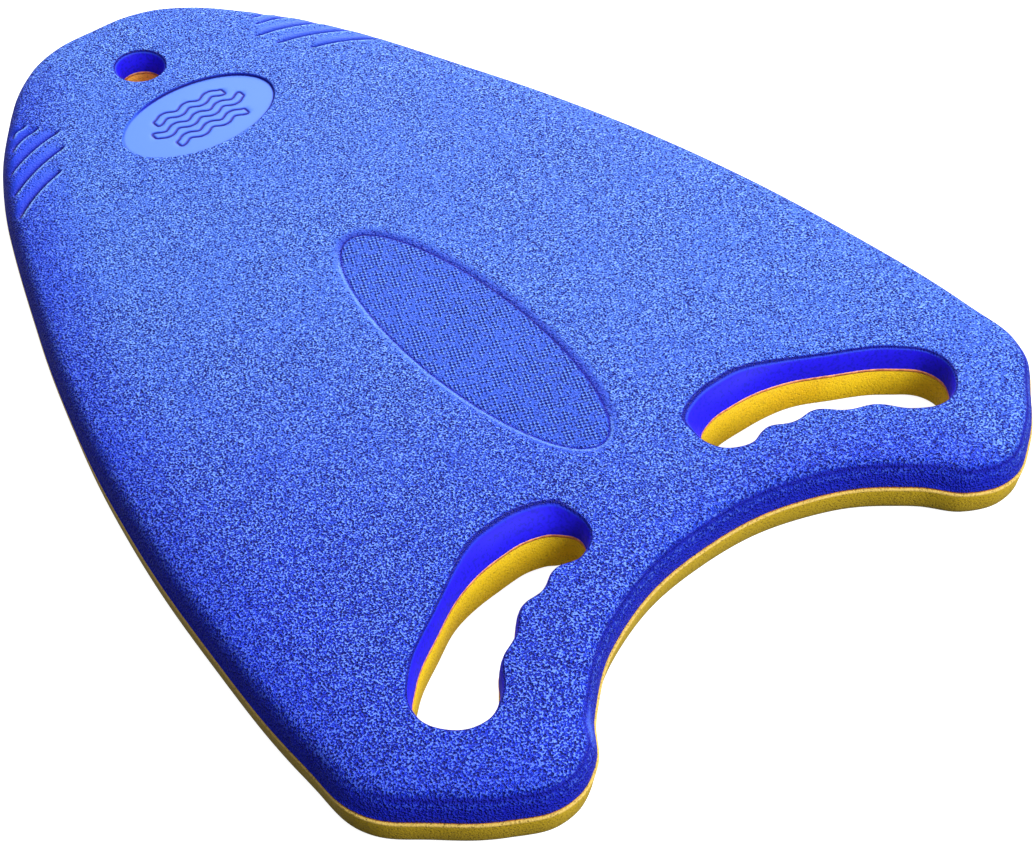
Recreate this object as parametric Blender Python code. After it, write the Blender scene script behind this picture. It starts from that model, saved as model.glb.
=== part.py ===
"""Two-colour EVA foam kickboard, modelled in metres.

Frame: +Y points to the nose, +X to the right of the board, +Z out of the deck.
The origin is under the middle of the board, on the plane of the underside.
Lengths below are in millimetres and are scaled by MM where they are used.
"""

from math import atan2, hypot, radians

import bmesh
import bpy
from mathutils import Euler, Vector

MM = 0.001

# Stack of the two foams and the bond between them.
THICKNESS = 24.0
JOINT_GAP = 0.3
BOND_THICKNESS = 0.5
BOTTOM_TOP = 13.0
BOND_BOTTOM = BOTTOM_TOP + JOINT_GAP
BOND_TOP = BOND_BOTTOM + BOND_THICKNESS
TOP_BOTTOM = BOND_TOP + JOINT_GAP

# Right half of the plan outline, from the nose to the middle of the tail.
HALF_OUTLINE = [
    (0.0, 215.0),
    (22.0, 213.2),
    (40.0, 204.5),
    (62.0, 182.0),
    (84.0, 149.5),
    (108.0, 94.5),
    (130.0, 34.0),
    (146.0, -27.0),
    (155.8, -92.0),
    (159.7, -150.0),
    (157.6, -175.5),
    (142.0, -193.0),
    (123.0, -208.0),
    (106.0, -215.0),
    (90.0, -210.0),
    (77.0, -195.5),
    (50.0, -177.0),
    (0.0, -167.0),
]
BOTTOM_LIP = 0.6
DECK_RIM_RADIUS = 8.0
LEDGE_RADIUS = 0.8
UNDERSIDE_RADIUS = 6.0

# Right hand slot: a smooth front wall, then the finger scallops of the rear wall.
SLOT_FRONT = [
    (30.5, -138.0),
    (34.5, -129.8),
    (42.0, -125.6),
    (55.0, -124.4),
    (75.0, -127.7),
    (95.0, -137.3),
    (114.0, -149.3),
    (123.3, -161.5),
    (120.6, -172.0),
    (109.7, -178.0),
]
SLOT_REAR = [
    (98.9, -173.6),
    (89.4, -162.8),
    (79.6, -158.0),
    (70.2, -150.2),
    (60.0, -149.3),
    (51.0, -145.1),
    (39.5, -146.6),
]
SLOT_RIM_RADIUS = 2.5
SCOOP_REACH = 4.5
SCOOP_FULL_X = 60.0
SCOOP_END_X = 90.0

# Lanyard hole near the nose.
HOLE_Y = 174.5
HOLE_RADIUS = 8.8
HOLE_RIM_RADIUS = 2.0

# Shallow oval recesses in the deck: half width, half length, middle and depth.
BADGE_OVAL = (34.7, 20.9, 131.2, 1.0)
PANEL_OVAL = (23.6, 72.3, -41.6, 0.6)

# Shoulder grooves: inner and outer end of each, on the right side.
GROOVES = [
    ((60.0, 172.0), (65.5, 170.0)),
    ((57.5, 166.5), (70.5, 162.5)),
    ((52.0, 159.0), (78.5, 151.0)),
    ((56.0, 149.0), (84.5, 138.5)),
    ((65.0, 137.0), (90.0, 125.5)),
]
GROOVE_WIDTH = 4.0
GROOVE_DEPTH = 1.0
GROOVE_TILT = radians(-14.0)

OUTLINE_STEPS = 6
SLOT_STEPS = 5
CUT_MARGIN = 5.0

BLUE = (0.035, 0.10, 0.72, 1.0)
YELLOW = (0.72, 0.42, 0.015, 1.0)
AMBER = (0.55, 0.17, 0.02, 1.0)


def clear_scene():
    for item in list(bpy.data.objects):
        bpy.data.objects.remove(item, do_unlink=True)


def add_collection(name):
    collection = bpy.data.collections.new(name)
    bpy.context.scene.collection.children.link(collection)
    return collection


def foam_material(name, colour, roughness):
    material = bpy.data.materials.new(name)
    material.use_nodes = True
    shader = material.node_tree.nodes["Principled BSDF"]
    shader.inputs["Base Color"].default_value = colour
    shader.inputs["Roughness"].default_value = roughness
    shader.inputs["Metallic"].default_value = 0.0
    return material


def mirrored_loop(half):
    """Close a right-hand half, whose ends lie on the centreline, into a full loop."""
    left = [(-x, y) for x, y in reversed(half[1:-1])]
    return half + left


def outline_curve(name, points, steps, half_depth, offset):
    """A filled 2D curve through the points, extruded to both sides of its plane."""
    curve = bpy.data.curves.new(name, "CURVE")
    curve.dimensions = "2D"
    curve.fill_mode = "BOTH"
    curve.extrude = half_depth * MM
    curve.offset = offset * MM
    curve.resolution_u = steps
    spline = curve.splines.new("BEZIER")
    spline.bezier_points.add(len(points) - 1)
    for knot, (x, y) in zip(spline.bezier_points, points):
        knot.co = (x * MM, y * MM, 0.0)
        knot.handle_left_type = "AUTO"
        knot.handle_right_type = "AUTO"
    spline.use_cyclic_u = True
    return bpy.data.objects.new(name, curve)


def plate(name, points, bottom, top, steps, collection, offset=0.0):
    """A closed plate with the given outline between two heights."""
    flat = outline_curve(name + "_outline", points, steps, (top - bottom) / 2, offset)
    flat.location.z = (top + bottom) / 2 * MM
    collection.objects.link(flat)
    bpy.context.view_layer.update()
    graph = bpy.context.evaluated_depsgraph_get()
    mesh = bpy.data.meshes.new_from_object(flat.evaluated_get(graph))
    shape = bmesh.new()
    shape.from_mesh(mesh)
    bmesh.ops.remove_doubles(shape, verts=shape.verts, dist=0.00001)
    bmesh.ops.dissolve_limit(
        shape, angle_limit=radians(0.5), verts=shape.verts, edges=shape.edges, use_dissolve_boundaries=False
    )
    bmesh.ops.recalc_face_normals(shape, faces=shape.faces)
    shape.to_mesh(mesh)
    shape.free()
    solid = bpy.data.objects.new(name, mesh)
    solid.matrix_world = flat.matrix_world
    collection.objects.link(solid)
    bpy.data.objects.remove(flat, do_unlink=True)
    return solid


def hide_cutter(cutter):
    cutter.hide_render = True
    cutter.display_type = "WIRE"
    return cutter


def cut(target, cutter):
    boolean = target.modifiers.new("cut_" + cutter.name, "BOOLEAN")
    boolean.operation = "DIFFERENCE"
    boolean.solver = "EXACT"
    boolean.object = cutter


def settle(target):
    """Turn the modifiers so far into plain mesh, so that its edges can be picked."""
    bpy.context.view_layer.update()
    graph = bpy.context.evaluated_depsgraph_get()
    mesh = bpy.data.meshes.new_from_object(target.evaluated_get(graph))
    target.modifiers.clear()
    target.data = mesh


def round_edges(target, height, radius, segments, inside=None):
    """Round the sharp edges at one height, all of them or those that `inside` picks."""
    to_world = target.matrix_world
    shape = bmesh.new()
    shape.from_mesh(target.data)
    picked = []
    for edge in shape.edges:
        ends = [to_world @ corner.co for corner in edge.verts]
        level = all(abs(end.z - height * MM) < 0.00002 for end in ends)
        sharp = len(edge.link_faces) == 2 and edge.calc_face_angle() > radians(35.0)
        if level and sharp and (inside is None or all(inside(end) for end in ends)):
            picked.append(edge)
    bmesh.ops.bevel(
        shape,
        geom=picked,
        offset=radius * MM,
        segments=segments,
        profile=0.5,
        affect="EDGES",
        clamp_overlap=False,
    )
    shape.to_mesh(target.data)
    shape.free()


def near_slot(point):
    return 20.0 * MM < abs(point.x) < 132.0 * MM and -184.0 * MM < point.y < -112.0 * MM


def near_hole(point):
    return hypot(point.x, point.y - HOLE_Y * MM) < (HOLE_RADIUS + 1.0) * MM


def slot_cutter(side, bottom, top, collection, scoop):
    """The hand slot as a plate; a scoop leans its front wall forward at the top."""
    points = [(side * x, y) for x, y in SLOT_FRONT + SLOT_REAR]
    name = ("right" if side > 0 else "left") + ("_scooped_slot" if scoop else "_slot")
    cutter = plate(name, points, bottom, top, SLOT_STEPS, collection)
    if scoop:
        lean_front_wall(cutter, bottom, top)
    return hide_cutter(cutter)


def lean_front_wall(cutter, bottom, top):
    """Move the top of the front wall forward, most near the middle of the board."""
    rise = (top - bottom) / (THICKNESS - TOP_BOTTOM)
    for corner in cutter.data.vertices:
        place = cutter.matrix_world @ corner.co
        x = abs(place.x) / MM
        y = place.y / MM
        if place.z < (bottom + top) / 2 * MM or y < rear_line(x):
            continue
        fade = min(max((SCOOP_END_X - x) / (SCOOP_END_X - SCOOP_FULL_X), 0.0), 1.0)
        front = min(max((y - rear_line(x)) / 10.0, 0.0), 1.0)
        corner.co.y += SCOOP_REACH * rise * fade * front * MM
    walls = bmesh.new()
    walls.from_mesh(cutter.data)
    bmesh.ops.triangulate(walls, faces=[face for face in walls.faces if len(face.verts) == 4])
    walls.to_mesh(cutter.data)
    walls.free()


def rear_line(x):
    """A line along the middle of the slot, which parts its front from its rear."""
    return -120.0 - 0.27 * x


def hole_cutter(collection):
    bpy.ops.mesh.primitive_cylinder_add(
        vertices=48,
        radius=HOLE_RADIUS * MM,
        depth=(THICKNESS + 2 * CUT_MARGIN) * MM,
        location=(0.0, HOLE_Y * MM, THICKNESS / 2 * MM),
    )
    return adopt("hole_cutter", collection)


def oval_cutter(name, oval, collection):
    half_width, half_length, middle, depth = oval
    bpy.ops.mesh.primitive_cylinder_add(
        vertices=72,
        radius=1.0,
        depth=2 * CUT_MARGIN * MM,
        location=(0.0, middle * MM, (THICKNESS - depth + CUT_MARGIN) * MM),
        scale=(half_width * MM, half_length * MM, 1.0),
    )
    return adopt(name, collection)


def groove_cutter(name, inner, outer, side, collection):
    """A tilted bar, so that the groove is deep along one side and fades at the other."""
    run_x = side * (outer[0] - inner[0])
    run_y = outer[1] - inner[1]
    heading = atan2(run_y, run_x)
    middle = Vector((side * (inner[0] + outer[0]) / 2, (inner[1] + outer[1]) / 2, THICKNESS))
    middle.z += CUT_MARGIN / 2 - GROOVE_DEPTH / 2
    tilt = GROOVE_TILT * side
    bpy.ops.mesh.primitive_cube_add(
        size=1.0,
        location=middle * MM,
        rotation=Euler((tilt, 0.0, heading)),
        scale=(hypot(run_x, run_y) * MM, GROOVE_WIDTH * MM, CUT_MARGIN * MM),
    )
    return adopt(name, collection)


def adopt(name, collection):
    """Name the object just added and keep it with the cutters."""
    cutter = bpy.context.object
    cutter.name = name
    for owner in list(cutter.users_collection):
        owner.objects.unlink(cutter)
    collection.objects.link(cutter)
    return hide_cutter(cutter)


def finish_shading(target, material):
    target.data.materials.clear()
    target.data.materials.append(material)
    for face in target.data.polygons:
        face.use_smooth = True
        face.material_index = 0
    target.data.set_sharp_from_angle(angle=radians(35.0))


def build_top_layer(parts, cutters, slots, hole):
    outline = mirrored_loop(HALF_OUTLINE)
    layer = plate("top_layer", outline, TOP_BOTTOM, THICKNESS, OUTLINE_STEPS, parts)
    round_edges(layer, THICKNESS, DECK_RIM_RADIUS, 6)
    for cutter in slots + [hole]:
        cut(layer, cutter)
    settle(layer)
    round_edges(layer, THICKNESS, SLOT_RIM_RADIUS, 3, near_slot)
    round_edges(layer, THICKNESS, HOLE_RIM_RADIUS, 3, near_hole)
    cut(layer, oval_cutter("badge_recess", BADGE_OVAL, cutters))
    cut(layer, oval_cutter("panel_recess", PANEL_OVAL, cutters))
    for number, (inner, outer) in enumerate(GROOVES, start=1):
        for side in (1, -1):
            name = "groove_%d_%s" % (number, "right" if side > 0 else "left")
            cut(layer, groove_cutter(name, inner, outer, side, cutters))
    finish_shading(layer, foam_material("blue_eva_foam", BLUE, 0.62))


def build_bottom_layer(parts, slots, hole):
    outline = mirrored_loop(HALF_OUTLINE)
    layer = plate("bottom_layer", outline, 0.0, BOTTOM_TOP, OUTLINE_STEPS, parts, BOTTOM_LIP)
    round_edges(layer, 0.0, UNDERSIDE_RADIUS, 4)
    round_edges(layer, BOTTOM_TOP, LEDGE_RADIUS, 2)
    for cutter in slots + [hole]:
        cut(layer, cutter)
    finish_shading(layer, foam_material("yellow_eva_foam", YELLOW, 0.6))


def build_bond_film(parts, slots, hole):
    outline = mirrored_loop(HALF_OUTLINE)
    film = plate("bond_film", outline, BOND_BOTTOM, BOND_TOP, OUTLINE_STEPS, parts)
    for cutter in slots + [hole]:
        cut(film, cutter)
    finish_shading(film, foam_material("amber_adhesive", AMBER, 0.5))


def build_kickboard():
    clear_scene()
    parts = add_collection("kickboard_float")
    cutters = add_collection("cutters")
    hole = hole_cutter(cutters)
    straight = [slot_cutter(side, -CUT_MARGIN, THICKNESS, cutters, False) for side in (1, -1)]
    low = TOP_BOTTOM - JOINT_GAP
    high = THICKNESS + CUT_MARGIN
    scooped = [slot_cutter(side, low, high, cutters, True) for side in (1, -1)]
    build_top_layer(parts, cutters, scooped, hole)
    build_bond_film(parts, straight, hole)
    build_bottom_layer(parts, straight, hole)


build_kickboard()
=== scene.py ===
"""Looks of the two-colour foam kickboard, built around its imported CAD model.

Lengths are in millimetres and are scaled by MM when a mesh is made. +Y points to the
nose, +X to the right of the board and +Z out of the deck.
"""

import math

import bmesh
import bpy
import numpy as np
from mathutils import Matrix, Vector
from mathutils.geometry import delaunay_2d_cdt


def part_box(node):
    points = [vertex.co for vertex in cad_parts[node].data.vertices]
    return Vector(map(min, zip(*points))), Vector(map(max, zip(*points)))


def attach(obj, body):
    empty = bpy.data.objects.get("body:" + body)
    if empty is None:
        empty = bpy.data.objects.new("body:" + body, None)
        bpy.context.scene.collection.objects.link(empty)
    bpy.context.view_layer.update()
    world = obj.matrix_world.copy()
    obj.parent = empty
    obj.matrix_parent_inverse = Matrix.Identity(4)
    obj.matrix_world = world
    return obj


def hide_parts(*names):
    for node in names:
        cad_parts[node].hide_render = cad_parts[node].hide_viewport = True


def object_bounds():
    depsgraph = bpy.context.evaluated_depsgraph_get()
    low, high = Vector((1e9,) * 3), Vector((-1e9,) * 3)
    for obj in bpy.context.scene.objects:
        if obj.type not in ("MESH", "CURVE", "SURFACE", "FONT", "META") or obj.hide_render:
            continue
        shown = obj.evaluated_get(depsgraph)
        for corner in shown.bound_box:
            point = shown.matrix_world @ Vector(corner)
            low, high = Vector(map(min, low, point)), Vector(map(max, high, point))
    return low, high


MM = 0.001

# Camera and light.
CAMERA_PLACE = (-0.38211, -0.50408, 0.60021)
CAMERA_FORWARD = (0.45785, 0.52133, -0.72013)
CAMERA_RIGHT = (0.75554, -0.65507, 0.00613)
CAMERA_LENS = 77.8
WORLD_LEAN = (0.6, 0.25, 0.6)
WORLD_DARK = 0.02
WORLD_BRIGHT = 0.9
KEY_PLACE = (0.70, 0.66, 0.62)
KEY_POWER = 24.0
FILL_PLACE = (0.30, -1.05, 0.75)
FILL_POWER = 24.0

# Rounded shapes of the blue deck layer: how far in from a wall the rounding reaches.
RIM_REACH = 6.6
RIM_POWER = 2.1
SHOULDER_REACH = 24.0
SHOULDER_DROP = 3.0
# Painted shade: how far in from the left edge the deck's colour deepens.
FLANK_SHADE_REACH = 36.0
SLOT_REACH = 2.1
SLOT_POWER = 2.2
SCOOP_REACH = 8.5
SCOOP_POWER = 1.6
SCOOP_INNER_X = (24.0, 36.0)
SCOOP_FADE_X = (58.0, 88.0)
SCOOP_END_X = (112.0, 125.0)
SCOOP_OUTER_SHARE = 0.15
SCOOP_FRONT = (-4.0, 8.0)
SCOOP_LINE = 127.0
SCOOP_TILT = 0.27
HOLE_REACH = 3.0

# Oval recesses of the deck: half width, half length, middle, depth.
BADGE_OVAL = (34.7, 20.9, 131.2, 1.0)
PANEL_OVAL = (23.6, 72.3, -41.6, 0.6)
PANEL_SHOULDER = 3.2
PANEL_CREASE = 0.3
PANEL_CREASE_WIDTH = 0.4

# Painted shade and painted highlight along an oval's edge, as light from the nose and right would fall:
# mark, strength at the tail and left, strength at the nose and right, place out from the edge, width.
PANEL_LINES = (
    ("crease_shade", 0.65, 0.95, -0.1, 0.5),
    ("crease_shade", 0.0, 0.42, 1.0, 1.8),
    ("crest", 0.6, 0.0, 1.0, 0.5),
)
# Painted shade along the badge's edge, stronger at the nose and right.
BADGE_LINES = (("crease_shade", 0.3, 0.95, -0.1, 0.45),)

# Shoulder grooves: inner and outer end of each on the right side.
GROOVES = [
    ((60.0, 172.0), (65.5, 170.0)),
    ((57.5, 166.5), (70.5, 162.5)),
    ((52.0, 159.0), (78.5, 151.0)),
    ((56.0, 149.0), (84.5, 138.5)),
    ((65.0, 137.0), (90.0, 125.5)),
]
GROOVE_RAMP = 5.5
GROOVE_DEPTH = 0.9
GROOVE_NOTCH = 0.9
GROOVE_CREST = 0.18
GROOVE_BOW = 1.2
GROOVE_NOTCH_LINE = (0.35, 0.85)
GROOVE_CREST_LINE = (-1.0, 0.5)
GROOVE_ROWS = (-2.0, -1.4, -1.0, -0.6, -0.3, 0.0, 0.25, 0.5, 0.8, 1.3, 2.2, 3.4, 4.8)
PANEL_ROWS = (-1.2, -0.6, -0.3, 0.0, 0.3, 0.7, 1.3, 2.1, 3.0)
BADGE_ROWS = (-1.0, -0.5, -0.25, 0.0, 0.25, 0.5, 1.0)

# Water waves pressed into the badge.
WAVE_MIDDLES = (139.5, 131.2, 122.9)
WAVE_HALF_LENGTHS = (17.0, 22.0, 17.0)
WAVE_HEIGHT = 2.0
WAVE_LENGTH = 11.0
WAVE_HALF_BAND = 1.9
WAVE_LINE = 0.62
WAVE_DEPTH = 0.4
WAVE_CORNER = 1.0

# Yellow layer.
LIP = 0.7
SIDE_LIP = 0.2
LEDGE_RADIUS = 0.6
WALL_DRAFT = 1.1
SLOT_LEAN = 3.0
UNDERSIDE_REACH = 5.0
UNDERSIDE_RISE = 5.0
UNDERSIDE_POWER = 2.0
SLOT_UNDERSIDE_RADIUS = 1.2
SEAM_INSET = 0.15

# Spacing of the mesh points.
GRID = 1.5
EDGE_STEP = 1.0
HOLE_STEP = 0.8
ROUNDING_ROWS = 10
FEATURE_SPACING = 0.2
FEATURE_MARGIN = 1.2
GRID_MARGIN = 0.6
CROWDING = 0.8
WAVE_SPACING = 0.35
SEAM_TUCK = 0.5

# Grain and colours of the foams.
PEBBLES = 880.0
DOT_PITCH = 0.0021
DOT_WAY = (0.94, 0.34)
DOT_CROSSWAY = (-0.34, 0.94)
SKIN_MIDDLE = 0.66
# Painted light: the deck's blue as a lit, paler copy and a shaded, deeper copy.
DECK_LIT_PALE = (0.035, 0.106, 0.54)
DECK_SHADED_DEEP = (0.005, 0.025, 0.51)
PANEL_BLUE = (0.020, 0.070, 0.50)
# Painted shade: the deck's rounded rim and side wall darker.
SIDE_SHADE_BLUE = (0.004, 0.007, 0.34)
CUT_BLUE = (0.012, 0.007, 0.58)
# Painted shade: the first below darkens the grain's pits, the next two darken creases, grooves and the
# tops of the cut walls.
PIT_SHADE_BLUE = (0.002, 0.006, 0.16)
SHADE_BLUE = (0.005, 0.010, 0.32)
LINE_SHADE_BLUE = (0.001, 0.002, 0.05)
# Painted highlight: pale tips of the grain, crests and the right rim's band; the badge's paler floor
# too.
PALE_HIGHLIGHT_BLUE = (0.17, 0.33, 0.74)
# The yellow foam as a brighter copy for the slot and hole walls, painted light, and duller copies for
# the outer wall, painted shade, the second darker towards the bottom.
CUT_LIT_YELLOW = (0.65, 0.44, 0.006)
CUT_LIT_GOLD = (0.61, 0.38, 0.005)
MOULDED_SHADED_YELLOW = (0.42, 0.285, 0.010)
MOULDED_LOW_SHADE_OLIVE = (0.26, 0.18, 0.009)
# Painted highlight along the top edge of the yellow lip.
EDGE_HIGHLIGHT_YELLOW = (0.80, 0.56, 0.22)
SPECK_BROWN = (0.13, 0.08, 0.006)
DEEP_GRAIN = 1.25

# Painted light: the deck's colour turns from a shaded deep copy to a lit pale copy along this way, as
# light and sheen from the nose and right fall, between two distances in metres.
LIGHT_FALL_WAY = (0.8, 1.0, 0.0)
LIGHT_FALL_PATCH = 0.08
LIGHT_FALL_LOW = -0.22
LIGHT_FALL_HIGH = 0.06
HOLE_FROM = 0.15
# Painted shade: the yellow inside the hole coloured a deeper orange.
HOLE_SHADE_ORANGE = (0.96, 0.46, 0.06)
AMBER_PALE = (0.75, 0.28, 0.08)
AMBER_DEEP = (0.42, 0.12, 0.03)

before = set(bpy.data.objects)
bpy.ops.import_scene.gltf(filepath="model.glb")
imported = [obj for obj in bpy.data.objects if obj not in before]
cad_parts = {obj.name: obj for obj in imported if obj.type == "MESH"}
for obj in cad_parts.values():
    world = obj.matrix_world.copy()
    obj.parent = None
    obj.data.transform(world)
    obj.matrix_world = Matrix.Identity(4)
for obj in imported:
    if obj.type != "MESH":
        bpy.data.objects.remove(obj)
cad_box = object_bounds()
DECK_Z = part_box("top_layer")[1].z / MM
FILM_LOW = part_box("bond_film")[0].z / MM
FILM_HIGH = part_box("bond_film")[1].z / MM
BASE_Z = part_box("bottom_layer")[0].z / MM
FILM_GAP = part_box("top_layer")[0].z / MM - FILM_HIGH
SEAM_LOW = FILM_LOW - FILM_GAP
SEAM_HIGH = FILM_HIGH + FILM_GAP


# ---------------------------------------------------------------- outlines


def plate_loops(node):
    """The outline and the holes of a flat CAD plate, longest first, in millimetres."""
    mesh = node.data
    corners = np.array([vertex.co for vertex in mesh.vertices]) / MM
    level = corners[:, 2].max() - 0.01
    name_of = {}
    points = []
    links = {}
    counts = {}
    for face in mesh.polygons:
        if face.normal.z < 0.9 or corners[face.vertices[0], 2] < level:
            continue
        ring = []
        for index in face.vertices:
            key = (round(corners[index, 0], 3), round(corners[index, 1], 3))
            if key not in name_of:
                name_of[key] = len(points)
                points.append(key)
            ring.append(name_of[key])
        for first, second in zip(ring, ring[1:] + ring[:1]):
            edge = (min(first, second), max(first, second))
            counts[edge] = counts.get(edge, 0) + 1
    for (first, second), count in counts.items():
        if count == 1:
            links.setdefault(first, []).append(second)
            links.setdefault(second, []).append(first)
    loops = []
    unseen = set(links)
    while unseen:
        current = min(unseen)
        loop = []
        while current is not None:
            loop.append(points[current])
            unseen.discard(current)
            current = next((other for other in links[current] if other in unseen), None)
        loops.append(np.array(loop))
    return sorted(loops, key=lambda loop: -loop_length(loop))


def loop_length(loop):
    return np.linalg.norm(np.roll(loop, -1, 0) - loop, axis=1).sum()


def signed_area(loop):
    following = np.roll(loop, -1, 0)
    return 0.5 * np.sum(loop[:, 0] * following[:, 1] - following[:, 0] * loop[:, 1])


def smooth_loop(loop, step):
    """A closed cubic curve through the loop's corners, read at even steps."""
    if signed_area(loop) < 0:
        loop = loop[::-1]
    ahead = np.roll(loop, -1, 0) - loop
    gap = np.linalg.norm(ahead, axis=1)[:, None]
    slope = ahead / gap
    gap_before = np.roll(gap, 1, 0)
    tangent = (slope * gap_before + np.roll(slope, 1, 0) * gap) / (gap + gap_before)
    start = np.concatenate([[0.0], np.cumsum(gap[:, 0])])
    count = int(round(start[-1] / step))
    place = np.linspace(0.0, start[-1], count, endpoint=False)
    piece = np.searchsorted(start, place, side="right") - 1
    t = ((place - start[piece]) / gap[piece, 0])[:, None]
    after = (piece + 1) % len(loop)
    return (
        (1 + 2 * t) * (1 - t) ** 2 * loop[piece]
        + t * (1 - t) ** 2 * gap[piece] * tangent[piece]
        + t**2 * (3 - 2 * t) * loop[after]
        + t**2 * (t - 1) * gap[piece] * tangent[after]
    )


def loop_normals(loop):
    """Unit normals on the right of an anticlockwise loop, which point out of it."""
    along = np.roll(loop, -1, 0) - np.roll(loop, 1, 0)
    normals = np.stack([along[:, 1], -along[:, 0]], axis=1)
    return normals / np.linalg.norm(normals, axis=1)[:, None]


def nearest(points, loop):
    """Distance from each point to a finely stepped loop, and the index of the nearest step."""
    distance = np.empty(len(points))
    index = np.empty(len(points), int)
    for start in range(0, len(points), 4000):
        block = points[start : start + 4000]
        squares = ((block[:, None, :] - loop[None, :, :]) ** 2).sum(2)
        best = squares.argmin(1)
        index[start : start + 4000] = best
        distance[start : start + 4000] = segment_distance(block, loop, best)
    return distance, index


def segment_distance(points, loop, best):
    """Distance to the two segments that meet at the nearest step."""
    result = np.full(len(points), np.inf)
    for turn in (-1, 1):
        start = loop[best]
        along = loop[(best + turn) % len(loop)] - start
        share = ((points - start) * along).sum(1) / (along**2).sum(1)
        share = np.clip(share, 0.0, 1.0)[:, None]
        result = np.minimum(result, np.linalg.norm(points - start - along * share, axis=1))
    return result


def inside_loop(points, loop):
    """Even-odd test of points against a closed loop."""
    inside = np.zeros(len(points), bool)
    following = np.roll(loop, -1, 0)
    for (x0, y0), (x1, y1) in zip(loop, following):
        crosses = (y0 > points[:, 1]) != (y1 > points[:, 1])
        rows = np.where(crosses)[0]
        if len(rows):
            at = x0 + (points[rows, 1] - y0) / (y1 - y0) * (x1 - x0)
            inside[rows] ^= points[rows, 0] < at
    return inside


def smoothstep(low, high, value):
    t = np.clip((value - low) / (high - low), 0.0, 1.0)
    return t * t * (3 - 2 * t)


# ---------------------------------------------------------------- deck relief


def rounding(distance, reach, height, power):
    """How far the surface has dropped at a distance in from a wall."""
    u = np.clip(1.0 - distance / reach, 0.0, 1.0)
    return height * (1.0 - (1.0 - u**power) ** (1.0 / power))


def rounding_steps(reach, power, count):
    """Distances in from the wall that space the rounding evenly round its bend."""
    angles = np.linspace(0.0, math.pi / 2, count + 1)[1:]
    return [reach * (1.0 - math.cos(angle) ** (2.0 / power)) for angle in angles]


def shoulder(outline_normals, distance):
    """The gentle fall of the deck to its edge, most along the sides and least at the tail."""
    tailwards = smoothstep(0.35, 0.85, -outline_normals[:, 1])
    fall = np.clip(1.0 - distance / SHOULDER_REACH, 0.0, 1.0) ** 2
    return SHOULDER_DROP * fall * (1.0 - 0.8 * tailwards)


def scoop_share(points):
    """Share of the scoop: full at the front near the board's middle, little further out, none behind."""
    x = np.abs(points[:, 0])
    front = smoothstep(*SCOOP_FRONT, points[:, 1] + SCOOP_LINE + SCOOP_TILT * x)
    fading = 1.0 - (1.0 - SCOOP_OUTER_SHARE) * smoothstep(*SCOOP_FADE_X, x)
    ends = smoothstep(*SCOOP_INNER_X, x) * (1.0 - smoothstep(*SCOOP_END_X, x))
    return front * fading * ends


def oval_distance(points, oval):
    """Signed distance out of an oval, exact near its edge."""
    half_width, half_length, middle, _ = oval
    x = points[:, 0] / half_width
    y = (points[:, 1] - middle) / half_length
    radius = np.sqrt(x * x + y * y) + 1e-9
    slope = np.sqrt((x / half_width) ** 2 + (y / half_length) ** 2) / radius + 1e-9
    return (radius - 1.0) / slope


def facing(points, oval):
    """Share of an oval's edge that lies to the right and nosewards of its middle."""
    half_width, half_length, middle, _ = oval
    x = points[:, 0] / half_width
    y = (points[:, 1] - middle) / half_length
    return smoothstep(-0.35, 0.35, (x + 0.5 * y) / (np.hypot(x, y) + 1e-9))


def wave_line_distance(points, middle, half_length):
    """Distance to the closed outline of one wave band, in the band's own plane."""
    x = points[:, 0]
    turn = 2 * math.pi * x / WAVE_LENGTH
    level = middle + 0.5 * WAVE_HEIGHT * np.cos(turn)
    tilt = np.sqrt(1.0 + (math.pi * WAVE_HEIGHT / WAVE_LENGTH * np.sin(turn)) ** 2)
    across = np.abs(points[:, 1] - level) / tilt
    along = np.abs(x) - half_length
    past_side = np.maximum(across - WAVE_HALF_BAND + WAVE_CORNER, 0.0)
    past_end = np.maximum(along + WAVE_CORNER, 0.0)
    outside = np.hypot(past_side, past_end)
    inner = np.minimum(np.maximum(across - WAVE_HALF_BAND, along), 0.0)
    return np.abs(np.where(outside > 0.0, outside - WAVE_CORNER, inner))


def groove_axes(inner, outer, side):
    """A groove's start, its direction outwards, the direction across it to the nose, its length."""
    start = np.array([side * inner[0], inner[1]])
    run = np.array([side * (outer[0] - inner[0]), outer[1] - inner[1]])
    length = np.linalg.norm(run)
    run = run / length
    return start, run, np.array([-run[1], run[0]]) * side, length


def groove_bow(along, length):
    """How far a groove curves to the nose at a place along it."""
    return GROOVE_BOW * (1.0 - (2.0 * np.clip(along / length, 0.0, 1.0) - 1.0) ** 2)


def bell(value, middle, width):
    return np.exp(-(((value - middle) / width) ** 2))


def raise_mark(marks, name, value):
    marks[name] = np.maximum(marks[name], value)


def draw_edge_lines(points, marks, oval, lines):
    gap = oval_distance(points, oval)
    # The lines are painted shade and painted highlight, weighted to the oval's nose and right side.
    upper = facing(points, oval)
    for name, low, high, middle, width in lines:
        raise_mark(marks, name, (low + (high - low) * upper) * bell(gap, middle, width))


def press_panel(points, marks):
    """The grip panel: a shallow oval with a soft shoulder and a fine groove along its edge, lined with
    painted shade and painted highlight.
    """
    gap = oval_distance(points, PANEL_OVAL)
    marks["depth"] += PANEL_OVAL[3] * (1.0 - smoothstep(0.0, PANEL_SHOULDER, gap))
    marks["depth"] += PANEL_CREASE * bell(gap, 0.0, PANEL_CREASE_WIDTH)
    marks["grain"] *= 1.0 - 0.5 * bell(gap, 1.6, 1.4)
    draw_edge_lines(points, marks, PANEL_OVAL, PANEL_LINES)


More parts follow.
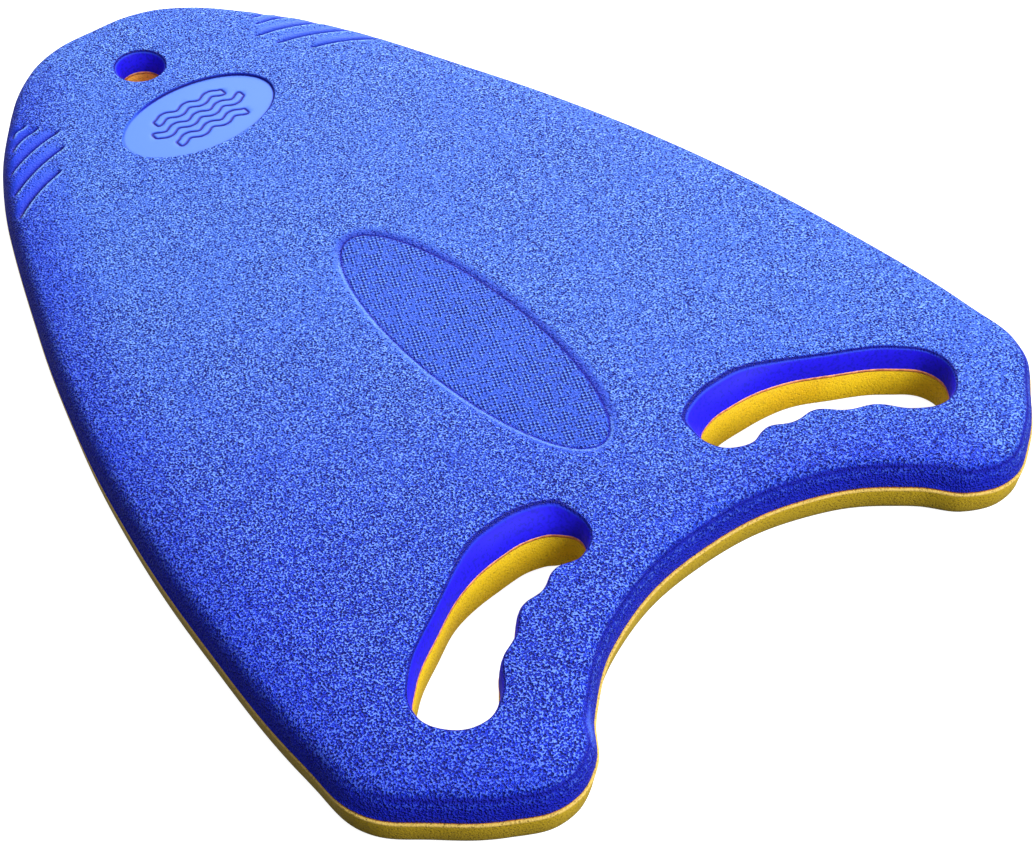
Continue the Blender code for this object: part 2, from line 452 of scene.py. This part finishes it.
def press_badge(points, marks):
    """The badge: a smooth, slightly paler oval with a crisp edge."""
    gap = oval_distance(points, BADGE_OVAL)
    marks["depth"] += BADGE_OVAL[3] * (1.0 - smoothstep(-0.3, 0.5, gap))
    marks["grain"] *= smoothstep(-0.2, 0.8, gap)
    raise_mark(marks, "crest", 0.25 * (1.0 - smoothstep(-0.8, -0.2, gap)))
    draw_edge_lines(points, marks, BADGE_OVAL, BADGE_LINES)


def press_waves(points, marks):
    for middle, half_length in zip(WAVE_MIDDLES, WAVE_HALF_LENGTHS):
        line = bell(wave_line_distance(points, middle, half_length), 0.0, WAVE_LINE)
        marks["depth"] += WAVE_DEPTH * line
        # Painted shade: dark lines along the pressed waves.
        raise_mark(marks, "crease_shade", 0.95 * line)


def press_groove(points, marks, inner, outer, side):
    """A ramp that deepens to a sharp notch, with a low crest on the notch's other side."""
    start, run, nosewards, length = groove_axes(inner, outer, side)
    along = (points - start) @ run
    across = (points - start) @ nosewards - groove_bow(along, length)
    reach = smoothstep(-3.6, -1.6, along) * smoothstep(-0.6, 1.4, length - along)
    body = smoothstep(-3.6, 1.5, along) * smoothstep(-1.0, 4.0, length - along)
    ramp = np.clip(1.0 - across / GROOVE_RAMP, 0.0, 1.0) * (across > -0.6)
    step = smoothstep(-0.5, 0.2, across)
    notch = bell(across, *GROOVE_NOTCH_LINE) * reach
    ridge = bell(across, *GROOVE_CREST_LINE) * reach
    marks["depth"] += GROOVE_DEPTH * ramp**1.6 * step * body
    marks["depth"] += GROOVE_NOTCH * notch - GROOVE_CREST * ridge
    # Painted shade: a dark line in the notch and darker ramps; painted highlight along the low ridge
    # beyond the notch.
    raise_mark(marks, "crease_shade", notch)
    raise_mark(marks, "crease_shade", 0.62 * body * ramp**1.3 * step)
    raise_mark(marks, "crest", ridge)
    marks["grain"] *= 1.0 - 0.85 * smoothstep(-1.4, 0.0, across) * smoothstep(-0.1, 0.3, ramp) * body


def relief(points):
    """What is pressed into the deck at each point: depth, grain left, and marks for painted shade along
    creases and painted highlights on crests.
    """
    marks = {name: np.zeros(len(points)) for name in ("depth", "crease_shade", "crest")}
    marks["grain"] = np.ones(len(points))
    press_panel(points, marks)
    press_badge(points, marks)
    press_waves(points, marks)
    for inner, outer in GROOVES:
        for side in (1, -1):
            press_groove(points, marks, inner, outer, side)
    return marks


# ---------------------------------------------------------------- meshes


def mesh_object(name, points, faces):
    mesh = bpy.data.meshes.new(name)
    mesh.from_pydata((np.asarray(points) * MM).tolist(), [], faces)
    mesh.validate()
    mesh.update()
    mesh.shade_smooth()
    piece = bpy.data.objects.new(name, mesh)
    bpy.context.scene.collection.objects.link(piece)
    return piece


def triangulate(points, loops):
    """Triangles over the plan points, inside the first index loop and outside the others."""
    edges = []
    for loop in loops:
        edges += list(zip(loop, loop[1:] + loop[:1]))
    vertices, _, faces, sources, _, _ = delaunay_2d_cdt(
        [Vector(point) for point in points.tolist()], edges, [], 0, 1e-6, True
    )
    origin = [source[0] for source in sources]
    triangles = np.array([[origin[index] for index in face] for face in faces if len(face) == 3])
    centres = points[triangles].mean(1)
    keep = inside_loop(centres, points[loops[0]])
    for loop in loops[1:]:
        keep &= ~inside_loop(centres, points[loop])
    return triangles[keep]


def inside_plan(points, loops):
    """Which points are inside the outline and outside every hole."""
    inside = inside_loop(points, loops[0])
    for loop in loops[1:]:
        inside &= ~inside_loop(points, loop)
    return inside


def rounding_points(loops, inward, reaches, powers):
    """Rows of points over each rounded edge, dropping those that fold over."""
    rows = []
    for loop, way, reach, power in zip(loops, inward, reaches, powers):
        normals = loop_normals(loop)
        for offset in rounding_steps(reach, power, ROUNDING_ROWS):
            row = loop + normals * (offset * way)
            distance, _ = nearest(row, loop)
            rows.append(row[distance > 0.96 * offset])
    rows = np.concatenate(rows)
    return rows[inside_plan(rows, loops)]


def oval_rows(oval, offsets):
    turns = np.linspace(0.0, 2 * math.pi, 360, endpoint=False)
    half_width, half_length, middle, _ = oval
    rows = []
    for offset in offsets:
        x = (half_width + offset) * np.cos(turns)
        y = middle + (half_length + offset) * np.sin(turns)
        rows.append(np.stack([x, y], 1))
    return rows


def groove_rows(inner, outer, side):
    start, run, nosewards, length = groove_axes(inner, outer, side)
    along = np.arange(-4.5, length + 2.0, 0.6)[:, None]
    bow = groove_bow(along, length)
    return [start + along * run + (across + bow) * nosewards for across in GROOVE_ROWS]


def wave_rows(middle, half_length):
    x, y = np.meshgrid(
        np.arange(-half_length - 1.2, half_length + 1.2, WAVE_SPACING),
        np.arange(-WAVE_HALF_BAND - 2.0, WAVE_HALF_BAND + 2.0, WAVE_SPACING),
    )
    return np.stack([x.ravel(), y.ravel() + middle], 1)


def feature_points(outline):
    """Extra points that follow the edges of the relief, so that its steps are crisp."""
    rows = oval_rows(PANEL_OVAL, PANEL_ROWS) + oval_rows(BADGE_OVAL, BADGE_ROWS)
    for inner, outer in GROOVES:
        for side in (1, -1):
            rows += groove_rows(inner, outer, side)
    for middle, half_length in zip(WAVE_MIDDLES, WAVE_HALF_LENGTHS):
        rows.append(wave_rows(middle, half_length))
    points = thin_out(np.concatenate(rows), FEATURE_SPACING)
    points = points[inside_loop(points, outline)]
    return points[nearest(points, outline)[0] > FEATURE_MARGIN]


def thin_out(points, spacing):
    """Keeps the first point in each cell of a square grid."""
    cells = np.floor(points / spacing).astype(int)
    seen = set()
    keep = []
    for row, cell in enumerate(map(tuple, cells)):
        if cell not in seen:
            seen.add(cell)
            keep.append(row)
    return points[keep]


def hex_grid(spacing):
    low = np.array([cad_box[0][0], cad_box[0][1]]) / MM
    high = np.array([cad_box[1][0], cad_box[1][1]]) / MM
    rows = np.arange(low[1], high[1], spacing * math.sqrt(3) / 2)
    points = []
    for number, y in enumerate(rows):
        x = np.arange(low[0], high[0], spacing) + (number % 2) * spacing / 2
        points.append(np.stack([x, np.full(len(x), y)], 1))
    return np.concatenate(points)


def open_grid(loops, reaches, features):
    """Grid points over the rest of the deck, clear of the rounded edges and the features."""
    grid = hex_grid(GRID)
    grid = grid[inside_plan(grid, loops)]
    keep = np.ones(len(grid), bool)
    for loop, reach in zip(loops, reaches):
        keep &= nearest(grid, loop)[0] > reach + GRID_MARGIN
    grid = grid[keep]
    crowded = set()
    for x, y in ((-1, 0), (0, -1), (0, 0), (0, 1), (1, 0)):
        shifted = features + (x * CROWDING, y * CROWDING)
        crowded |= set(map(tuple, np.floor(shifted / CROWDING).astype(int)))
    cells = map(tuple, np.floor(grid / CROWDING).astype(int))
    return grid[[cell not in crowded for cell in cells]]


def deck_drops(points, loops, height):
    """How far the deck has dropped from its highest level: at the rim, and at the slots and hole."""
    gap, step = nearest(points, loops[0])
    crown = shoulder(loop_normals(loops[0])[step], gap)
    rim = np.minimum(rounding(gap, RIM_REACH, height, RIM_POWER) + crown, height)
    cut = np.zeros(len(points))
    for loop in loops[1:-1]:
        gap, step = nearest(points, loop)
        share = scoop_share(loop)[step]
        reach = SLOT_REACH + (SCOOP_REACH - SLOT_REACH) * share
        power = SLOT_POWER + (SCOOP_POWER - SLOT_POWER) * share
        cut = np.maximum(cut, rounding(gap, reach, height, power))
    gap, _ = nearest(points, loops[-1])
    return rim, np.maximum(cut, rounding(gap, HOLE_REACH, height, SLOT_POWER))


def finish_marks(marks, points, outline, rim, cut):
    """Adds to the relief's marks what depends on the roundings, given as shares of the height."""
    gap, step = nearest(points, outline)
    facing_out = loop_normals(outline)[step]
    tailwards = smoothstep(0.2, 0.8, -facing_out[:, 1])
    rightwards = smoothstep(0.1, 0.6, facing_out @ np.array([0.85, 0.5]))
    leftwards = smoothstep(0.0, 0.7, facing_out @ np.array([-1.0, -0.3]))
    # Painted highlight: a pale, smoother band along the right rim, where light from the right grazes it.
    band = rightwards * bell(gap, 2.0, 1.3)
    marks["grain"] *= 1.0 - smoothstep(0.02, 0.10, cut)
    marks["grain"] *= 1.0 - 0.35 * smoothstep(0.5, 0.9, rim)
    marks["grain"] *= 1.0 - 0.8 * band
    # Painted shade: a dark line along the top of the tail wall.
    raise_mark(marks, "crease_shade", 0.8 * tailwards * bell(rim, 0.25, 0.09))
    raise_mark(marks, "crest", 0.45 * band)
    # Painted shade: the deck's colour deepens towards its left edge, the side away from the light.
    marks["flank_shade"] = leftwards * (1.0 - smoothstep(4.0, FLANK_SHADE_REACH, gap))
    marks["panel"] = 1.0 - smoothstep(-0.6, 0.0, oval_distance(points, PANEL_OVAL))
    marks["rim"] = rim
    marks["cut"] = cut


def build_deck(outline, slots, hole):
    """The blue layer: one closed mesh, its top a relief over the plan."""
    loops = [outline, *slots, hole]
    reaches = [RIM_REACH, *[SCOOP_REACH] * len(slots), HOLE_REACH]
    powers = [RIM_POWER, *[SLOT_POWER] * (len(slots) + 1)]
    inward = [-1, *[1] * (len(slots) + 1)]
    boundary = np.concatenate(loops)
    features = feature_points(outline)
    roundings = rounding_points(loops, inward, reaches, powers)
    grid = open_grid(loops, reaches, features)
    points = np.concatenate([boundary, features, roundings, grid])
    index_loops = []
    start = 0
    for loop in loops:
        index_loops.append(list(range(start, start + len(loop))))
        start += len(loop)

    height = DECK_Z - SEAM_HIGH
    rim, cut = deck_drops(points, loops, height)
    marks = relief(points)
    z = DECK_Z - np.maximum(rim, cut) - marks.pop("depth")
    z[: len(boundary)] = SEAM_HIGH
    top = np.column_stack([points, z])
    bottom = np.column_stack([boundary, np.full(len(boundary), SEAM_HIGH - SEAM_TUCK)])
    faces = triangulate(points, index_loops).tolist()
    for number, loop in enumerate(index_loops):
        for first, second in zip(loop, loop[1:] + loop[:1]):
            quad = [first, second, second + len(top), first + len(top)]
            faces.append(quad[::-1] if number == 0 else quad)
    under = triangulate(boundary, index_loops)
    faces += (under[:, ::-1] + len(top)).tolist()
    piece = mesh_object("deck_foam", np.concatenate([top, bottom]), faces)
    fix_normals(piece)
    finish_marks(marks, points, outline, rim / height, cut / height)
    for name, values in marks.items():
        below = np.full(len(boundary), float(name == "rim"))
        add_mark(piece, name, np.concatenate([values, below]))
    return piece


def add_mark(piece, name, values):
    mark = piece.data.attributes.new(name, "FLOAT", "POINT")
    mark.data.foreach_set("value", np.asarray(values, np.float32))


def fix_normals(piece):
    shape = bmesh.new()
    shape.from_mesh(piece.data)
    bmesh.ops.recalc_face_normals(shape, faces=shape.faces)
    shape.to_mesh(piece.data)
    shape.free()


def loft(loop, normals, profile, drift):
    """Rings of a loop, each moved along the normals by its offset and its share of the drift."""
    rings = []
    for offset, z, sway in profile:
        shift = (offset + sway * drift)[:, None]
        rings.append(np.column_stack([loop + normals * shift, np.full(len(loop), z)]))
    return rings


def corner_arc(offset, z, radius, first, last, count):
    """Points (offset, height) round a corner whose centre is at offset, z."""
    angles = np.radians(np.linspace(first, last, count))
    return [(offset + radius * math.cos(angle), z + radius * math.sin(angle)) for angle in angles]


def superellipse(reach, rise, power, count):
    """Points (offset, rise) from a vertical wall round to a level face."""
    angles = np.linspace(0.0, math.pi / 2, count)
    offsets = reach * (1.0 - np.cos(angles) ** (2.0 / power))
    rises = rise * np.sin(angles) ** (2.0 / power)
    return list(zip(offsets.tolist(), rises.tolist()))


def build_layer(name, loops, drifts, outer_profile, inner_profile):
    """A closed layer between two flat faces, its walls lofted from the profiles (top to bottom)."""
    points = []
    faces = []
    top_loops = []
    bottom_loops = []
    cut_marks = []
    start = 0
    for number, loop in enumerate(loops):
        profile = outer_profile if number == 0 else inner_profile
        normals = loop_normals(loop) * (-1 if number == 0 else 1)
        rings = loft(loop, normals, profile, drifts[number])
        count = len(loop)
        for row, ring in enumerate(rings):
            points.append(ring)
            if row == 0:
                continue
            for index in range(count):
                after = (index + 1) % count
                above = start + (row - 1) * count
                below = start + row * count
                faces.append([above + index, above + after, below + after, below + index])
        top_loops.append(list(range(start, start + count)))
        last = start + (len(rings) - 1) * count
        bottom_loops.append(list(range(last, last + count)))
        start = last + count
        cut_marks.append(np.full((len(rings) - 1) * count, float(number > 0)))
        cut_marks.append(np.zeros(count))
    points = np.concatenate(points)
    for cap in (top_loops, bottom_loops):
        order = [index for loop in cap for index in loop]
        place = {index: row for row, index in enumerate(order)}
        local = [[place[index] for index in loop] for loop in cap]
        triangles = triangulate(points[order][:, :2], local)
        faces += np.array(order)[triangles].tolist()
    piece = mesh_object(name, points, faces)
    fix_normals(piece)
    add_mark(piece, "cut", np.concatenate(cut_marks))
    return piece


# ---------------------------------------------------------------- materials


class Wires:
    """Short calls that add nodes to one material and join them up."""

    def __init__(self, name):
        self.material = bpy.data.materials.new(name)
        self.material.use_nodes = True
        self.tree = self.material.node_tree
        self.shader = self.tree.nodes["Principled BSDF"]
        self.place = self.add("ShaderNodeTexCoord").outputs["Object"]

    def add(self, kind, **settings):
        node = self.tree.nodes.new(kind)
        for name, value in settings.items():
            setattr(node, name, value)
        return node

    def join(self, source, target):
        if isinstance(source, bpy.types.NodeSocket):
            self.tree.links.new(source, target)
        else:
            target.default_value = source

    def math(self, operation, first, second=0.0, third=0.0, clamp=False):
        node = self.add("ShaderNodeMath", operation=operation, use_clamp=clamp)
        for value, socket in zip((first, second, third), node.inputs):
            self.join(value, socket)
        return node.outputs[0]

    def span(self, value, low, high, start=0.0, end=1.0):
        """The value carried smoothly from low..high to start..end."""
        node = self.add("ShaderNodeMapRange", interpolation_type="SMOOTHSTEP")
        for number, item in enumerate((value, low, high, start, end)):
            self.join(item, node.inputs[number])
        return node.outputs[0]

    def mix(self, share, first, second):
        node = self.add("ShaderNodeMix", data_type="RGBA")
        self.join(share, node.inputs["Factor"])
        colours = [socket for socket in node.inputs if socket.type == "RGBA"]
        for colour, socket in zip((first, second), colours):
            is_socket = isinstance(colour, bpy.types.NodeSocket)
            self.join(colour if is_socket else (*colour, 1.0), socket)
        return next(socket for socket in node.outputs if socket.type == "RGBA")

    def noise(self, scale, detail):
        node = self.add("ShaderNodeTexNoise")
        self.join(self.place, node.inputs["Vector"])
        node.inputs["Scale"].default_value = scale
        node.inputs["Detail"].default_value = detail
        return node.outputs["Fac"]

    def cells(self, scale, place=None):
        """Distance to the nearest of many scattered points."""
        node = self.add("ShaderNodeTexVoronoi", feature="F1")
        self.join(place or self.place, node.inputs["Vector"])
        node.inputs["Scale"].default_value = scale
        return node.outputs["Distance"]

    def warped(self, scale, strength):
        """The place shifted a little by a noise, so that a pattern isn't regular."""
        node = self.add("ShaderNodeTexNoise")
        self.join(self.place, node.inputs["Vector"])
        node.inputs["Scale"].default_value = scale
        node.inputs["Detail"].default_value = 1.0
        shift = self.add("ShaderNodeVectorMath", operation="MULTIPLY_ADD")
        self.join(node.outputs["Color"], shift.inputs[0])
        shift.inputs[1].default_value = (strength, strength, strength)
        self.join(self.place, shift.inputs[2])
        return shift.outputs[0]

    def mark(self, name):
        return self.add("ShaderNodeAttribute", attribute_name=name).outputs["Fac"]

    def bump(self, height, depth):
        node = self.add("ShaderNodeBump")
        node.inputs["Strength"].default_value = 1.0
        node.inputs["Distance"].default_value = depth
        self.join(height, node.inputs["Height"])
        self.join(node.outputs["Normal"], self.shader.inputs["Normal"])

    def along(self, direction):
        """How far the place lies along a direction."""
        node = self.add("ShaderNodeVectorMath", operation="DOT_PRODUCT")
        self.join(self.place, node.inputs[0])
        node.inputs[1].default_value = direction
        return node.outputs["Value"]

    def wave(self, direction, pitch):
        """A sine of the place along a plan direction, from -1 to 1."""
        turns = 2 * math.pi / pitch
        return self.math("SINE", self.along((direction[0] * turns, direction[1] * turns, 0.0)))


def skin_height(w, panel):
    """Height of the moulded skin: pebbles over the deck, crossed rows of dots in the panel."""
    pits = w.span(w.cells(PEBBLES, w.warped(800.0, 0.0008)), 0.16, 0.50)
    tips = w.span(w.cells(PEBBLES * 0.83, w.warped(500.0, 0.001)), 0.10, 0.42, 1.0, 0.0)
    worms = w.span(w.noise(PEBBLES * 1.6, 0.5), 0.34, 0.66)
    pebbled = w.math("MULTIPLY_ADD", pits, 0.50, w.math("MULTIPLY", worms, 0.50))
    pebbled = w.math("MULTIPLY_ADD", tips, 0.26, pebbled)
    rows = w.math("MULTIPLY", w.wave(DOT_WAY, DOT_PITCH), w.wave(DOT_CROSSWAY, DOT_PITCH))
    dots = w.math("MULTIPLY", rows, w.span(w.noise(500.0, 1.0), 0.36, 0.62))
    dots = w.math("MULTIPLY_ADD", dots, 0.62, w.math("MULTIPLY_ADD", worms, 0.3, 0.50))
    return w.math("MULTIPLY_ADD", panel, w.math("SUBTRACT", dots, pebbled), pebbled)


def skin_level(w, panel, painted_light):
    """Skin height about its middle, stronger where the deck's colour is painted in shade, none on smooth
    parts.
    """
    patches = w.span(w.noise(34.0, 3.0), 0.32, 0.68, 0.84, 1.06)
    strength = w.math("MULTIPLY_ADD", painted_light, 1.0 - DEEP_GRAIN, DEEP_GRAIN)
    coarse = w.math("MULTIPLY", patches, strength)
    height = w.math("SUBTRACT", skin_height(w, panel), SKIN_MIDDLE)
    return w.math("MULTIPLY", height, w.math("MULTIPLY", w.mark("grain"), coarse))


def deck_colour(w, panel, painted_light, level):
    """The open deck: painted light from a shaded deep blue to a lit pale one, painted shade dark in its
    pits, painted highlight pale on its tips, and painted shade deeper towards the left edge.
    """
    flank_shade = w.mark("flank_shade")
    colour = w.mix(painted_light, DECK_SHADED_DEEP, DECK_LIT_PALE)
    # Painted shade: deeper blue towards the left edge.
    colour = w.mix(w.math("MULTIPLY", flank_shade, 0.8), colour, DECK_SHADED_DEEP)
    colour = w.mix(w.math("MULTIPLY", panel, 0.7), colour, PANEL_BLUE)
    # Painted shade in the grain's pits; painted highlight on its tips, weaker where the deck is shaded.
    colour = w.mix(w.span(level, -0.24, -0.04, 1.0, 0.0), colour, PIT_SHADE_BLUE)
    tipped = w.math("MULTIPLY", w.span(level, 0.15, 0.38), w.math("MULTIPLY_ADD", painted_light, 0.18, 0.50))
    tipped = w.math("MULTIPLY", tipped, w.math("MULTIPLY_ADD", flank_shade, -0.5, 1.0))
    return w.mix(tipped, colour, PALE_HIGHLIGHT_BLUE)


def edge_colours(w, colour):
    """Adds to the deck's colour the side wall's painted shade, painted highlights on crests, the cut
    walls, and painted shade with dark lines along creases and the cut walls' top edges.
    """
    drop = w.mark("cut")
    side = w.span(w.mark("rim"), 0.10, 0.60)
    # Painted shade: a dark line along the top edge of the slot and hole walls.
    line = w.math("MULTIPLY", w.span(drop, 0.005, 0.03), w.span(drop, 0.06, 0.12, 0.8, 0.0))
    crease_shade = w.math("MAXIMUM", w.mark("crease_shade"), line)
    # Painted shade on the rounded rim and side wall.
    colour = w.mix(w.math("MULTIPLY", side, 0.85), colour, SIDE_SHADE_BLUE)
    # Painted highlight on crests and along the right rim; it also makes the badge floor paler.
    colour = w.mix(w.math("MULTIPLY", w.mark("crest"), 0.8), colour, PALE_HIGHLIGHT_BLUE)
    pitted = w.span(w.noise(PEBBLES, 1.0), 0.55, 0.30, 0.0, 0.45)
    colour = w.mix(w.span(drop, 0.05, 0.16), colour, w.mix(pitted, CUT_BLUE, PIT_SHADE_BLUE))
    # Painted shade, then darker lines, along creases, grooves and edges.
    colour = w.mix(w.span(crease_shade, 0.0, 0.7), colour, SHADE_BLUE)
    return w.mix(w.span(crease_shade, 0.6, 1.0), colour, LINE_SHADE_BLUE)


def blue_foam():
    """Moulded skin: pebbled on the deck, dotted in the panel, smooth on the walls."""
    w = Wires("blue_foam_skin")
    panel = w.mark("panel")
    # Painted light: the share of the lit pale copy, growing towards the nose and right, with random
    # patches.
    painted_light = w.math("MULTIPLY_ADD", w.noise(12.0, 2.0), LIGHT_FALL_PATCH, w.along(LIGHT_FALL_WAY))
    painted_light = w.span(painted_light, LIGHT_FALL_LOW, LIGHT_FALL_HIGH)
    level = skin_level(w, panel, painted_light)
    colour = edge_colours(w, deck_colour(w, panel, painted_light, level))
    w.join(colour, w.shader.inputs["Base Color"])
    w.join(w.span(level, -0.3, 0.3, 0.62, 0.46), w.shader.inputs["Roughness"])
    w.shader.inputs["Specular IOR Level"].default_value = 0.09
    w.bump(level, 0.0009)
    return w.material


def yellow_foam():
    """Yellow foam: a brighter copy on the slot and hole walls as painted light, a duller, speckled copy
    on the moulded outer wall as painted shade.
    """
    w = Wires("yellow_foam_skin")
    cut = w.mark("cut")
    height = w.add("ShaderNodeSeparateXYZ")
    w.join(w.place, height.inputs[0])
    # Painted shade: the outer wall darker towards the bottom.
    low = w.span(height.outputs[2], SEAM_LOW * MM, BASE_Z * MM, 0.0, 1.0)
    # Painted highlight: a paler line along the top edge of the lip.
    edge = w.span(height.outputs[2], (SEAM_LOW - 1.1) * MM, (SEAM_LOW - 0.5) * MM)
    fine = w.noise(1500.0, 3.0)
    specks = w.span(w.cells(800.0), 0.10, 0.42, 1.0, 0.0)
    patches = w.span(w.noise(30.0, 3.0), 0.35, 0.7)
    # Painted light: the slot and hole walls brighter, with random patches of tone.
    bright = w.mix(patches, CUT_LIT_YELLOW, CUT_LIT_GOLD)
    moulded = w.mix(low, MOULDED_SHADED_YELLOW, MOULDED_LOW_SHADE_OLIVE)
    moulded = w.mix(w.math("MULTIPLY", edge, 0.36), moulded, EDGE_HIGHLIGHT_YELLOW)
    moulded = w.mix(w.math("MULTIPLY", specks, 0.55), moulded, SPECK_BROWN)
    # Painted shade: the yellow inside the hole turned a deeper orange.
    in_hole = w.span(w.along((0.0, 1.0, 0.0)), HOLE_FROM, HOLE_FROM + 0.01)
    coloured = w.mix(cut, moulded, w.mix(in_hole, bright, HOLE_SHADE_ORANGE))
    coloured = w.mix(w.math("MULTIPLY", w.span(fine, 0.50, 0.72), 0.45), coloured, SPECK_BROWN)
    w.join(coloured, w.shader.inputs["Base Color"])
    w.join(w.span(fine, 0.3, 0.7, 0.45, 0.65), w.shader.inputs["Roughness"])
    w.shader.inputs["Specular IOR Level"].default_value = 0.2
    w.bump(w.math("MULTIPLY_ADD", specks, -0.4, fine), 0.0003)
    return w.material


def amber_bond():
    """Bond bead with small lumps along it."""
    w = Wires("amber_bond")
    lumps = w.noise(420.0, 3.0)
    colour = w.mix(w.span(lumps, 0.35, 0.65), AMBER_DEEP, AMBER_PALE)
    w.join(colour, w.shader.inputs["Base Color"])
    w.join(w.span(lumps, 0.3, 0.7, 0.35, 0.5), w.shader.inputs["Roughness"])
    w.bump(lumps, 0.0003)
    return w.material


# ---------------------------------------------------------------- stage


def add_camera():
    data = bpy.data.cameras.new("camera")
    data.lens = CAMERA_LENS
    data.sensor_fit = "HORIZONTAL"
    data.sensor_width = 36.0
    camera = bpy.data.objects.new("camera", data)
    right = Vector(CAMERA_RIGHT).normalized()
    back = -Vector(CAMERA_FORWARD).normalized()
    up = back.cross(right)
    turn = Matrix((right, up, back)).transposed().to_4x4()
    camera.matrix_world = Matrix.Translation(CAMERA_PLACE) @ turn
    bpy.context.scene.collection.objects.link(camera)
    bpy.context.scene.camera = camera


def add_area(name, place, aim, size, power):
    data = bpy.data.lights.new(name, "AREA")
    data.shape = "SQUARE"
    data.size = size
    data.energy = power
    light = bpy.data.objects.new(name, data)
    light.location = place
    towards = Vector(aim) - Vector(place)
    light.rotation_euler = towards.to_track_quat("-Z", "Y").to_euler()
    bpy.context.scene.collection.objects.link(light)


def add_stage():
    """A plain white floor, which lights itself so that the board's shadow stays faint."""
    bpy.ops.mesh.primitive_plane_add(size=12.0, location=(0.0, 0.0, -0.0004))
    floor = bpy.context.object
    floor.name = "floor"
    w = Wires("floor_white")
    w.shader.inputs["Base Color"].default_value = (0.4, 0.4, 0.4, 1.0)
    w.shader.inputs["Roughness"].default_value = 0.9
    w.shader.inputs["Emission Color"].default_value = (1.0, 1.0, 1.0, 1.0)
    w.shader.inputs["Emission Strength"].default_value = 0.9
    floor.data.materials.append(w.material)
    floor.visible_diffuse = False
    floor.visible_glossy = False


def add_world():
    """Soft surrounding light, brighter from the right and above than from the left and below."""
    world = bpy.data.worlds.new("studio")
    world.use_nodes = True
    tree = world.node_tree
    place = tree.nodes.new("ShaderNodeTexCoord")
    lean = tree.nodes.new("ShaderNodeVectorMath")
    lean.operation = "DOT_PRODUCT"
    lean.inputs[1].default_value = WORLD_LEAN
    strength = tree.nodes.new("ShaderNodeMapRange")
    strength.inputs["From Min"].default_value = -1.0
    strength.inputs["To Min"].default_value = WORLD_DARK
    strength.inputs["To Max"].default_value = WORLD_BRIGHT
    tree.links.new(place.outputs["Generated"], lean.inputs[0])
    tree.links.new(lean.outputs["Value"], strength.inputs["Value"])
    tree.links.new(strength.outputs["Result"], tree.nodes["Background"].inputs["Strength"])
    tree.nodes["Background"].inputs["Color"].default_value = (1.0, 1.0, 1.0, 1.0)
    bpy.context.scene.world = world
    bpy.context.scene.view_settings.view_transform = "Standard"


def add_light():
    add_area("key", KEY_PLACE, (0.0, 0.02, 0.0), 0.6, KEY_POWER)
    add_area("fill", FILL_PLACE, (0.0, -0.1, 0.0), 0.7, FILL_POWER)


# ---------------------------------------------------------------- assembly


def join_to_frame(piece, node, material):
    piece.data.materials.append(material)
    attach(piece, "root")
    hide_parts(node)


def base_outer_profile():
    """Rows (offset in, height, sway) down the outside of the yellow layer."""
    lip_corner = LIP - LEDGE_RADIUS
    arc = corner_arc(lip_corner, SEAM_LOW - LEDGE_RADIUS, LEDGE_RADIUS, 90, 0, 5)
    under = superellipse(UNDERSIDE_REACH, UNDERSIDE_RISE, UNDERSIDE_POWER, 10)
    rows = [(2.0, SEAM_LOW, 0.0)]
    rows += [(-offset, z, 1.0) for offset, z in arc]
    for offset, rise in under:
        rows.append((offset - LIP + WALL_DRAFT, BASE_Z + UNDERSIDE_RISE - rise, 1.0))
    return rows


def base_inner_profile():
    """Rows (offset in, height, sway) down the wall of a slot or of the hole."""
    radius = SLOT_UNDERSIDE_RADIUS
    arc = corner_arc(-radius, BASE_Z + radius, radius, 0, -90, 4)
    rows = [(2.0, SEAM_LOW, 0.0), (0.3, SEAM_LOW, 0.0), (0.0, SEAM_LOW - 0.3, 0.0)]
    rows += [(-offset, z, 1.0) for offset, z in arc]
    return rows + [(radius + 0.4, BASE_Z, 1.0)]


def seam_profile(inset):
    """Rows (offset in, height, sway) of the bond's thin edge."""
    corners = ((1.0, SEAM_HIGH), (inset, SEAM_HIGH), (inset, SEAM_LOW), (1.0, SEAM_LOW))
    return [(offset, z, 0.0) for offset, z in corners]


def main():
    plates = plate_loops(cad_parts["bond_film"])
    outline, *slots = [smooth_loop(loop, EDGE_STEP) for loop in plates[:3]]
    hole = smooth_loop(plates[3], HOLE_STEP)
    add_camera()
    add_world()
    add_light()
    add_stage()
    deck = build_deck(outline, slots, hole)
    join_to_frame(deck, "top_layer", blue_foam())

    loops = [outline, *slots, hole]
    tailwards = smoothstep(-0.1, 0.4, -loop_normals(outline)[:, 1])
    drifts = [(LIP - SIDE_LIP) * (1.0 - tailwards)]
    drifts += [-SLOT_LEAN * scoop_share(loop) for loop in slots]
    drifts += [np.zeros(len(hole))]
    base = build_layer("base_foam", loops, drifts, base_outer_profile(), base_inner_profile())
    join_to_frame(base, "bottom_layer", yellow_foam())
    inset = SEAM_INSET
    seam = build_layer("seam_bead", loops, drifts, seam_profile(inset), seam_profile(-inset))
    join_to_frame(seam, "bond_film", amber_bond())


main()
